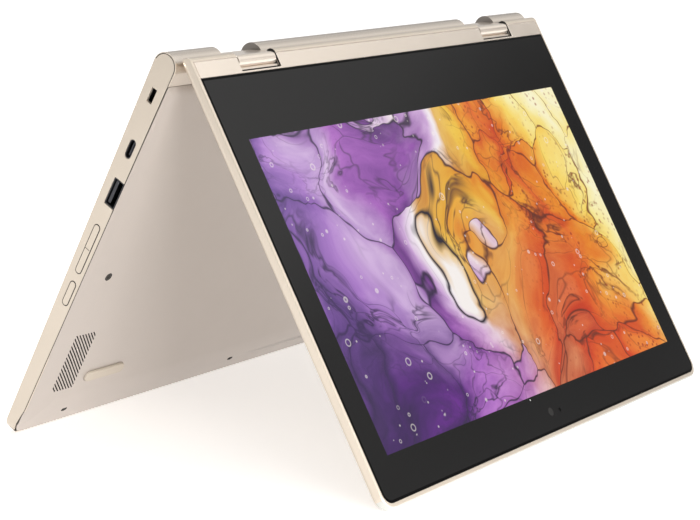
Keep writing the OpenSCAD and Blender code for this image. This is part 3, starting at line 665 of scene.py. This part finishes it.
def build_lid():
    low = LID_FACE - LID_T
    heights = [low + LID_R * (1 - math.cos(math.radians(a))) for a in range(0, 91, 9)]
    heights += [low + LID_R + LID_R * math.sin(math.radians(a)) for a in range(9, 45, 9)]
    heights += [LID_FACE - RIM_R + RIM_R * math.sin(math.radians(a)) for a in range(0, 91, 15)]
    rings = [lid_ring(z) for z in sorted(set(round(h, 7) for h in heights))]
    half = GLASS_HALF + GLASS_GAP
    far = GLASS_R + GLASS_GAP
    seat = plan(-half, half, -GLASS_FAR - GLASS_GAP, 0.0012, (far, far, 0.0002, 0.0002), 10)
    rings.append([(x, y, LID_FACE) for x, y in seat])
    rings.append([(x, y, LID_FACE - SEAT_DEPTH) for x, y in seat])
    lid = loft("lid_shell", rings)
    inner, outer = CAP_X - CAP_HALF - CAP_GAP, CAP_X + CAP_HALF + CAP_GAP
    notches = [block("n", s * inner, s * outer, -NOTCH, 0.02, -0.01, 0.01) for s in (-1, 1)]
    cut(lid, joined("notches", notches))
    soften(lid, 0.00018, 2, 50)
    place(lid, "lid", ["shell", "near_black_and_painted_shade", "rim"], "champagne_shell", ["lid_back_cover"], LID)
    # Notch walls take the near black as painted shade.
    for p in lid.data.polygons:
        if in_notch(p):
            p.material_index = 1
        # The far end takes the grey copy of the paint: painted light.
        elif p.center.y < -0.196 and p.normal.y < -0.35:
            p.material_index = 2

    # Bed in front of each cap, its far edge rounded down to the strip
    bed = [(-0.0032, -0.0024), (-0.0032, 0.0015), (-0.0034, 0.0018), (-0.0039, 0.0021), (-0.0045, 0.0019)]
    bed += [(-0.0048, 0.0013), (-0.0049, 0.0006), (-0.0049, -0.0024)]
    for s, name in ((-1, "left"), (1, "right")):
        span = (s * CAP_X - CAP_HALF - 0.0003, s * CAP_X + CAP_HALF + 0.0003)
        saddle = loft("hinge_bed_" + name, [[(x, y, z) for y, z in bed] for x in span])
        place(saddle, "lid", ["hinge"], "champagne_shell", ["lid_back_cover"], LID)

    # Strip that covers the hinge channel, notched for the two caps
    y0, y1, back = -GLASS_NEAR + 0.0001, 0.00115, -NOTCH
    outline = [(-GLASS_HALF, y0), (GLASS_HALF, y0), (GLASS_HALF, y1)]
    outline += [(outer, y1), (outer, back), (inner, back), (inner, y1)]
    outline += [(-inner, y1), (-inner, back), (-outer, back), (-outer, y1), (-GLASS_HALF, y1)]
    trim = prism("hinge_strip", outline, LID_FACE - 0.0009, LID_FACE + 0.00002, 0.0003, 2)
    place(trim, "lid", ["hinge", "near_black_and_painted_shade"], "champagne_shell", ["hinge_trim"], LID)
    # Notch walls of the strip take the near black as painted shade.
    for p in trim.data.polygons:
        if in_notch(p):
            p.material_index = 1


def glass_plan(inset):
    r = GLASS_R - inset
    half = GLASS_HALF - inset
    return plan(-half, half, -GLASS_FAR + inset, -GLASS_NEAR - inset, (r, r, 0.0006, 0.0006), 10)


def build_glass():
    top = LID_FACE - 0.0001
    profile = [(0.0, top - 0.001), (0.0, top - 0.00022), (0.00007, top - 0.00007)]
    profile += [(0.00022, top), (0.0011, top)]
    rings = [[(x, y, z) for x, y in glass_plan(d)] for d, z in profile]
    rings.append([(x, y, top) for x, y in glass_plan(0.0014)])
    border = loft("glass_border", rings, [1, 1, 1, 1, 0])
    half = ACTIVE_W / 2
    near, far = -ACTIVE_NEAR, -ACTIVE_NEAR - ACTIVE_H
    cut(border, block("w", -half, half, far, near, top - 0.0005, top + 0.001))
    place(border, "lid", ["glass", "outline"], "screen_glass", ["touch_glass"], LID)
    pane = block("display_window", -half, half, far, near, top - 0.0004, top)
    place(pane, "lid", ["window"], "display", ["touch_glass", "lcd_panel"], LID)
    lens_profile = [(0.0020, -0.0002), (0.0020, 0.00003), (0.0017, 0.00006)]
    lens_profile += [(0.0015, 0.00002), (0.0009, 0.00004), (0.0003, 0.00006)]
    camera = lathe("camera_lens", [(r, top + h) for r, h in lens_profile])
    place(camera, "lid", ["near_black_and_painted_shade"], "black_plastic", ["camera_module"], LID @ shift(0, -0.1898, 0))
    sensor = lathe("light_sensor", [(r * 0.5, top + h) for r, h in lens_profile], 32)
    place(sensor, "lid", ["outline"], "black_plastic", (), LID @ shift(0.0079, -0.1905, 0))
    lamp_profile = [(0.0004, top - 0.0002), (0.0004, top + 0.00002), (0.0002, top + 0.00005)]
    light = lathe("camera_light", lamp_profile, 24)
    place(light, "lid", ["lamp"], "silver_can", (), LID @ shift(-0.012, -0.1813, 0))


# ---------------------------------------------------------------- base


def cover_height(x, y):
    """Height of the underside: flat in the middle, rising softly towards every edge."""
    side = 0.0006 * max(0.0, (abs(x) - 0.1390) / 0.0057) ** 2
    rear = 0.0006 * max(0.0, (y + 0.0112) / 0.0046) ** 2
    ahead = max(0.0, -y - 0.1795)
    front = 0.0027 * (ahead / 0.0183) ** 1.5
    return (side**3 + rear**3 + front**3) ** (1 / 3)


def cover_top(y):
    """The seam between the cover and the case."""
    ahead = max(0.0, -y - 0.183)
    return SEAM_Z + (FRONT_Z - SEAM_Z) * min(1.0, ahead / 0.0148)


def clipped(polygon, low, high):
    """A convex polygon's part inside the box from low to high."""
    for axis in (0, 1):
        for limit, sign in ((low[axis], 1), (high[axis], -1)):
            kept = []
            for k, b in enumerate(polygon):
                a = polygon[k - 1]
                da, db = sign * (a[axis] - limit), sign * (b[axis] - limit)
                if (da >= 0) != (db >= 0):
                    t = da / (da - db)
                    kept.append((a[0] + t * (b[0] - a[0]), a[1] + t * (b[1] - a[1])))
                if db >= 0:
                    kept.append(b)
            polygon = kept
            if not polygon:
                return []
    return polygon


# Twice the area below which a slot's clipped end is left out, in square metres
SLIVER = 1.2e-6


def speaker_slots(side):
    """Slanted slots that fill an upright rectangle on the underside."""
    width, length, drop, pitch, slot = 0.014, 0.033, 0.0165, 0.0022, 0.00062
    centre = (side * 0.125, -0.1585)
    low = (centre[0] - width / 2, centre[1] - length / 2)
    high = (centre[0] + width / 2, centre[1] + length / 2)
    a = math.atan2(drop, width)
    along, aside = Vector((math.cos(a), math.sin(a))), Vector((-math.sin(a), math.cos(a)))
    cutters = []
    for count in range(-11, 12):
        middle = Vector((0, count * pitch))
        signs = ((-2, -1), (2, -1), (2, 1), (-2, 1))
        corners = [middle + along * width * sa + aside * slot / 2 * sb for sa, sb in signs]
        outline = clipped([(side * c.x + centre[0], c.y + centre[1]) for c in corners], low, high)
        if len(outline) > 2:
            area = sum(a[0] * b[1] - b[0] * a[1] for a, b in zip(outline[-1:] + outline, outline))
            if abs(area) > SLIVER:
                cutters.append(prism("slot", outline, -0.002, 0.0009))
    return cutters


# Screws of the bottom cover, as (x, y): round heads, then the recessed ones along the front
STUDS = [(0.128, -0.109), (-0.128, -0.109), (0, -0.109)]
STUDS += [(0.1, -0.014), (-0.1, -0.014), (0.045, -0.014), (-0.045, -0.014)]
FRONT_SCREWS = [(0.1145, -0.1904), (-0.0115, -0.1904), (-0.1145, -0.1904)]


def hole(x, y, r, z0, z1, steps=32):
    return prism("hole", [(x + dx, y + dy) for dx, dy in circle(r, steps)], z0, z1)


def build_cover():
    edge = BASE_HALF - 0.0003
    insets = [0, 0.0003, 0.0007, 0.0012, 0.0018, 0.0026, 0.0036, 0.0048, 0.0062]
    insets += [0.008, 0.0098, 0.0116, 0.0134, 0.0152, 0.017, 0.019]
    rings = []

    def outline(d):
        r = max(0.0002, 0.0067 - d)
        return plan(-edge + d, edge - d, -0.1978 + d, -0.0066 - min(d, 0.006), (r, r, 0.0003, 0.0003), 10)

    gap = 0.00038
    rings.append([(x, y, SEAM_Z) for x, y in outline(0.019)])
    rings.append([(x, y, cover_top(y) - 0.00002) for x, y in outline(0.0007)])
    rings.append([(x, y, cover_top(y) - gap) for x, y in outline(0.0007)])
    rings.append([(x, y, cover_top(y) - gap) for x, y in outline(0.0001)])
    for d in insets:
        rings.append([(x, y, min(cover_height(x, y), cover_top(y) - gap - 0.00008)) for x, y in outline(d)])
    cover = loft("bottom_shell", rings, [1, 1, 1] + [0] * len(insets))
    cutters = speaker_slots(1) + speaker_slots(-1)
    cutters += [hole(x, y, 0.00205, -0.002, 0.0006) for x, y in STUDS]
    long, wide = 0.0019, 0.00095
    for x, y in FRONT_SCREWS:
        recess = plan(x - long, x + long, y - wide, y + wide, (wide,) * 4)
        cutters.append(prism("slot", recess, -0.002, 0.0016))
    cutter = joined("cutters", cutters)
    for o in (cover, cutter):
        for m in ("cover", "near_black_and_painted_shade"):
            o.data.materials.append(M[m])
    # The walls of the slots, holes and front recesses are near black: painted shade.
    for p in cutter.data.polygons:
        p.material_index = 1
    cut(cover, cutter)
    place(cover, "base", ["cover", "near_black_and_painted_shade"], "champagne_cover", ["bottom_cover"], BASE)


def build_feet():
    for name, node, x, y, length, width, height in (
        ("foot_right", "front_feet", 0.0985, -0.1705, 0.027, 0.0056, 0.0013),
        ("foot_left", "front_feet", -0.0985, -0.1705, 0.027, 0.0056, 0.0013),
        ("foot_rear", "rear_foot", 0.0, -0.022, 0.120, 0.0056, 0.0009),
    ):

        def outline(d):
            r = width / 2 - d
            half = length / 2 - d
            return plan(x - half, x + half, y - r, y + r, (r,) * 4, 12)

        profile = [(0, 0.0002), (0, -height + 0.0007), (0.0001, -height + 0.0004)]
        profile += [(0.0004, -height + 0.0001), (0.0009, -height)]
        rings = [[(px, py, z) for px, py in outline(d)] for d, z in profile]
        place(loft(name, rings), "base", ["foot"], "foot_rubber", [node], BASE)
        # A grey line round each foot where it meets the cover: painted shade.
        rim = outline(-0.00008)
        rim = [(px, py, 0.00008) for px, py in rim + rim[:1]]
        place(groove(name + "_rim", rim, 0.00016), "base", ["grey_painted_shade"], "foot_rubber", (), BASE)


def build_screws():
    parts = []
    profile = [(0.9, 0.0005), (1, 0.00035), (1, 0.0001), (0.9, 0), (0.47, 0), (0.42, 0.0003)]
    heads = [(*p, 0.0001, 0.0019) for p in STUDS] + [(*p, 0.001, 0.0008) for p in FRONT_SCREWS]
    for x, y, z, r in heads:
        head = lathe("head", [(r * k, z + h) for k, h in profile], 32)
        head.matrix_world = shift(x, y, 0)
        bpy.context.scene.collection.objects.link(head)
        parts.append(head)
    bpy.context.view_layer.update()
    place(joined("case_screws", parts), "base", ["screw"], "screw_black", ["cover_screws"], BASE)


def build_case():
    case = from_cad("top_case", "case_shell", 0.0002, 2, 40, BASE)
    place(case, "base", ["shell", "spine", "grey_painted_shade"], "champagne_shell", ["top_case"], BASE)
    # Spine faces take the glossier spine paint; the end faces of the notches beside the caps take the dark grey
    # painted shade.
    for p in case.data.polygons:
        if p.center.y > -0.0045 and abs(p.center.x) < BASE_HALF - 0.0003:
            p.material_index = 1 if abs(p.normal.x) < 0.8 else 2
    for side, name in ((1, "spine_seam_right"), (-1, "spine_seam_left")):
        turns = [math.radians(a) for a in range(0, 171, 10)]
        path = [(-0.0062, 0.00098), (-0.003, 0.00099)]
        path += [(SEAM_R * math.sin(a), AXIS_Z - SEAM_R * math.cos(a)) for a in turns]
        line = groove(name, [(side * (BASE_HALF + 0.00001), y, z) for y, z in path], 0.00016)
        place(line, "base", ["near_black_and_painted_shade"], "champagne_shell", (), BASE)
        stations = (-0.05, -0.12, -0.183, -0.188, -0.192)
        path = [(-0.0062, 0.00098)] + [(y, cover_top(y) - 0.0002) for y in stations]
        name = name.replace("spine", "side")
        line = groove(name, [(side * (BASE_HALF - 0.0001), y, z) for y, z in path], 0.00013)
        place(line, "base", ["near_black_and_painted_shade"], "champagne_shell", (), BASE)


def build_caps():
    link = math.hypot(base_axis.y - lid_axis.y, base_axis.z - lid_axis.z)

    def section(x, r):
        points = []
        for k in range(17):
            a = math.radians(90 + 180 * k / 16)
            points.append((x, r * math.cos(a), r * math.sin(a)))
        for k in range(17):
            a = math.radians(-90 + 180 * k / 16)
            points.append((x, link + r * math.cos(a), r * math.sin(a)))
        return points

    for side, name in ((-1, "left"), (1, "right")):
        start, end = side * CAP_X - CAP_HALF, 2 * CAP_HALF
        profile = [(0, 0.0003), (0.00009, 0.00009), (0.0003, 0)]
        profile += [(end - 0.0003, 0), (end - 0.00009, 0.00009), (end, 0.0003)]
        rings = [section(start + x, CAP_R - d) for x, d in profile]
        cap = loft("hinge_cover_" + name, rings)
        place(cap, "hinge_links", ["hinge"], "hinge_metal", ["hinge_cap_" + name], LINK)


# ---------------------------------------------------------------- keyboard

KEY_U = 0.0179
ROW_U = 0.0174
FN_ROW = 0.0124
KEY_GAP = 0.0026
KBD_REAR = -0.024
ROW_UNITS = 14.5
KBD_LEFT = -ROW_UNITS * KEY_U / 2
KEY_TOP = 0.0005
KEY_T = 0.002
PAD_HALF = 0.052
PAD_REAR = -0.1315
PAD_DEPTH = 0.055
PAD_R = 0.00275
# Each row's keys from the left, as (width in key units, legend)
ROWS = [
    ("function_keys", [(1.25, "esc")] + [(1, "F%d" % i) for i in range(1, 13)] + [(1.25, "del")]),
    ("number_keys", [(1, c) for c in "`1234567890-="] + [(1.5, "back")]),
    ("upper_keys", [(1.5, "tab")] + [(1, c) for c in "QWERTYUIOP[]\\"]),
    ("home_keys", [(1.75, "caps")] + [(1, c) for c in "ASDFGHJKL;'"] + [(1.75, "enter")]),
    ("lower_keys", [(2.25, "shift")] + [(1, c) for c in "ZXCVBNM,./"] + [(2.25, "shift")]),
]
# The bottom row's keys beside the space bar, as (start, width, legend) in key units
BOTTOM = [(0, 1.25, "ctrl"), (1.25, 1, "fn"), (2.25, 1, ""), (3.25, 1, "alt")]
BOTTOM += [(9.5, 1, "alt"), (10.5, 1, "ctrl")]


def row_span(i):
    """Front and rear edge of row i's cells."""
    rear = KBD_REAR - (0 if i == 0 else FN_ROW + (i - 1) * ROW_U)
    return KBD_REAR - FN_ROW - i * ROW_U, rear


def keycap(x, units, front, rear):
    """A hollow keycap with a dished top and rounded edges."""
    g = KEY_GAP / 2
    x0, x1, y0, y1 = x + g, x + units * KEY_U - g, front + g, rear - g
    # As (inset, drop below the top): the roof's underside, the walls, the rounded edge, the dish
    profile = [(0.0009, 0.0008), (0.0009, KEY_T), (0.0, KEY_T), (0.0, 0.0007)]
    profile += [(0.00008, 0.0003), (0.0003, 0.00007), (0.0006, 0), (0.0016, 0.00006), (0.003, 0.00014)]
    rings = []
    for d, drop in profile:
        z = KEY_TOP - drop
        r = max(0.0002, 0.0016 - d * 0.6)
        rings.append([(px, py, z) for px, py in plan(x0 + d, x1 - d, y0 + d, y1 - d, (r,) * 4, 5)])
    return loft("cap", rings)


def legend(text, x, y, size):
    curve = bpy.data.curves.new("legend", "FONT")
    curve.body = text
    curve.size = size
    curve.resolution_u = 3
    curve.align_x = "LEFT"
    curve.align_y = "TOP"
    curve.extrude = 0.00001
    mesh = curve_mesh("legend", curve)
    mesh.transform(shift(x, y, KEY_TOP - 0.00003))
    return bpy.data.objects.new("legend", mesh)


def key_group(node, cells):
    caps = [keycap(x, u, y0, y1) for x, u, y0, y1, _ in cells]
    place(joined(node + "_caps", caps), node, ["key"], "key_plastic", [node], DECK)
    marks = []
    for x, u, y0, y1, text in cells:
        if text:
            small = len(text) > 1 or y1 - y0 < 0.012
            size = 0.0031 if small else 0.0046
            drop = 0.0013 if y1 - y0 < 0.013 else 0.0018
            marks.append(legend(text, x + KEY_GAP / 2 + 0.0016, y1 - KEY_GAP / 2 - drop, size))
    if marks:
        place(joined(node + "_legends", marks), node, ["legend"], "key_plastic", (), DECK)


def build_keys():
    for i, (node, keys) in enumerate(ROWS):
        x, cells = KBD_LEFT, []
        for units, text in keys:
            cells.append((x, units, *row_span(i), text))
            x += units * KEY_U
        key_group(node, cells)
    front, rear = row_span(5)
    key_group("bottom_keys", [(KBD_LEFT + KEY_U * x, u, front, rear, text) for x, u, text in BOTTOM])
    key_group("space_bar", [(KBD_LEFT + KEY_U * 4.25, 5.25, front, rear, "")])
    middle = (front + rear) / 2
    low_top, high_foot = middle + 0.0008, middle - 0.0008
    arrows = [(0, front, low_top), (1, front, low_top), (1, high_foot, rear), (2, front, low_top)]
    key_group("arrow_keys", [(KBD_LEFT + KEY_U * (11.5 + i), 1, a, b, "") for i, a, b in arrows])


def build_deck():
    grid = from_cad("keyboard_grid", "key_frame", 0.00012, 2, 50, BASE)
    place(grid, "base", ["deck"], "champagne_shell", ["keyboard_grid"], BASE)
    rings = []
    rear, front = PAD_REAR, PAD_REAR - PAD_DEPTH
    profile = [(0.0, -0.00105), (0.0, -0.00025), (0.00006, -0.0001), (0.0002, -0.00005)]
    profile += [(0.0006, -0.00005)]
    for d, z in profile:
        r = PAD_R - d
        pad = plan(-PAD_HALF + d, PAD_HALF - d, front + d, rear - d, (r,) * 4, 8)
        rings.append([(x, y, z) for x, y in pad])
    place(loft("touch_surface", rings), "touchpad", ["pad"], "touchpad_surface", ["touchpad"], DECK)


# ---------------------------------------------------------------- buttons


def build_buttons():
    for node in ("power_button", "volume_rocker"):
        corners = [BASE.inverted() @ v.co for v in frame["nodes"][node].data.vertices]
        face = max(c.x for c in corners)
        seen = [c for c in corners if c.x > face - 0.0004]
        y0, y1 = min(c.y for c in seen), max(c.y for c in seen)
        z0, z1 = min(c.z for c in seen), max(c.z for c in seen)
        r = (z1 - z0) / 2
        # The dark loop round each button reaches further on its lower, front side: the gap's dark line, with
        # painted shadow on that side.
        loop = plan(y0 - 0.00014, y1, z0 - 0.00014, z1, (r,) * 4, 8)
        gap = groove(node + "_gap_and_shadow", [(BASE_HALF - 0.00006, y, z) for y, z in loop + loop[:1]], 0.0002)
        place(gap, "base", ["near_black_and_painted_shade"], "champagne_shell", (), BASE)
        if node == "volume_rocker":
            middle = (y0 + y1) / 2
            line = groove("volume_line", [(face, middle, z0 + 0.0003), (face, middle, z1 - 0.0003)], 0.00012)
            place(line, body_of(node), ["near_black_and_painted_shade"], "champagne_shell", (), BASE)


# ---------------------------------------------------------------- the remaining CAD nodes

POLISHED = {
    "power_button": ("shell", 0.00025),
    "volume_rocker": ("shell", 0.00025),
    # port: almost black steel, painted shade inside the openings
    "usb_c_right": ("port", 0.00006),
    "usb_c_left": ("port", 0.00006),
    "usb_a_right": ("port", 0.00008),
    "usb_a_left": ("port", 0.00008),
    "audio_jack": ("black", 0.0001),
    "lock_plate": ("port", 0.0001),
    "card_slot": ("port", 0.0001),
}
DRESSED = {
    "steel": "hinge_links base_hinge_left base_hinge_right lid_hinge_left lid_hinge_right keyboard_plate "
    "touchpad_bracket lid_magnets",
    "screw": "base_hinge_screws lid_hinge_screws",
    "bronze": "friction_washers",
    "silicone": "keyboard_membrane",
    "board": "mainboard io_board button_board wireless_card",
    "black": "mainboard_chips battery_tray speaker_left speaker_right display_cable",
    "copper": "heat_spreader antennas",
    "wrap": "battery_cells",
    "can": "microphones",
}


def build_rest():
    slots = {s["node"]: s["material_slot"] for s in frame["record"]["subparts"]}
    for node, (finish, width) in POLISHED.items():
        obj = from_cad(node, node + "_finished", width, 2, 45, BASE)
        place(obj, body_of(node), [finish], slots[node], [node], BASE)
    for finish, names in DRESSED.items():
        for node in names.split():
            mesh = frame["nodes"][node].data
            mesh.materials.clear()
            mesh.materials.append(M[finish])


build_lid()
build_glass()
build_cover()
build_feet()
build_screws()
build_case()
build_caps()
build_keys()
build_deck()
build_rest()
build_buttons()

# ---------------------------------------------------------------- stage


def build_stage():
    bm = bmesh.new()
    near, size = -1.6, 6.0
    for x, y in ((near, -size), (size, -size), (size, size), (near, size)):
        bm.verts.new((x, y, 0))
    bm.faces.new(bm.verts)
    floor = to_object(bm, "floor")
    bpy.context.scene.collection.objects.link(floor)
    n = Surface("studio_floor")
    at = n.coords()
    white = n.mix(n.noise(at, 2.0), (0.88, 0.88, 0.88), (0.91, 0.91, 0.91))
    n.set(n.shader, **{"Base Color": white, "Roughness": 0.9})
    n.shader.inputs["Emission Color"].default_value = (1.0, 0.985, 0.97, 1)
    n.shader.inputs["Emission Strength"].default_value = 0.5
    floor.data.materials.append(n.mat)

    world = bpy.data.worlds.new("studio")
    bpy.context.scene.world = world
    world.use_nodes = True
    w = Nodes(world.node_tree)
    direction = w.add("TexCoord", out="Generated")
    parts = w.add("SeparateXYZ", Vector=direction)
    height = w.between(parts.node.outputs["Z"], -1.0, 1.0)
    bands = [(0.0, 0.5), (0.49, 0.5), (0.52, 0.55), (0.56, 1.0), (0.60, 1.0)]
    bands += [(0.65, 0.55), (0.685, 0.6), (0.71, 1.0), (0.76, 1.0), (1.0, 0.75)]
    sky = w.ramp(height, [(z, (v, v * 0.99, v * 0.975)) for z, v in bands])
    across = w.between(parts, -1.0, 1.0)
    steps = [(0.0, 0.88), (0.5, 1.0), (0.885, 1.0), (0.95, 0.84), (1.0, 0.78)]
    sky = w.mix(1.0, sky, w.ramp(across, [(x, (v, v, v)) for x, v in steps]), "MULTIPLY")
    # A grey card that the display and its strip reflect towards the camera
    ahead = parts.node.outputs["Y"]
    card = w.math("MULTIPLY", w.between(parts, 0.765, 0.87), w.between(ahead, -0.22, -0.33))
    shade = w.between(card, 0.0, 1.0, 1.0, 0.42)
    sky = w.mix(1.0, sky, w.add("CombineColor", Red=shade, Green=shade, Blue=shade), "MULTIPLY")
    beyond = w.between(ahead, -0.15, 0.2, 1.0, 0.66)
    sky = w.mix(1.0, sky, w.add("CombineColor", Red=beyond, Green=beyond, Blue=beyond), "MULTIPLY")
    w.set(w.tree.nodes["Background"], Color=sky, Strength=1.1)

    def softbox(name, place_at, look_at, size, power, tint=(1, 1, 1)):
        data = bpy.data.lights.new(name, "AREA")
        data.shape = "RECTANGLE"
        data.size, data.size_y = size
        data.energy = power
        data.color = tint
        o = bpy.data.objects.new(name, data)
        bpy.context.scene.collection.objects.link(o)
        o.location = place_at
        o.rotation_euler = (Vector(look_at) - Vector(place_at)).to_track_quat("-Z", "Y").to_euler()

    softbox("overhead", (0.2, 0.3, 1.5), (0, 0, 0.1), (1.2, 0.5), 5)
    softbox("through_gap_and_shadow", (-0.30, -0.50, 0.03), (-0.12, 0.06, 0.07), (0.16, 0.10), 3.0, (1, 0.985, 0.96))


# The camera fitted to the photo: place in metres, directions, focal length in mm
CAMERA_AT = (-0.8245, -0.5591, 0.2645)
CAMERA_RIGHT = Vector((0.5713, -0.8207, 0.0082))
CAMERA_VIEW = Vector((0.8066, 0.5595, -0.1907))
CAMERA_LENS = 108.37


def build_camera():
    data = bpy.data.cameras.new("camera")
    data.sensor_width = 36
    data.lens = CAMERA_LENS
    data.clip_start = 0.05
    o = bpy.data.objects.new("camera", data)
    bpy.context.scene.collection.objects.link(o)
    right = CAMERA_RIGHT.normalized()
    view = CAMERA_VIEW.normalized()
    up = right.cross(view)
    m = Matrix((right, up, -view)).transposed().to_4x4()
    o.matrix_world = Matrix.Translation(CAMERA_AT) @ m
    bpy.context.scene.camera = o


build_stage()
build_camera()
bpy.context.scene.view_settings.view_transform = "Standard"
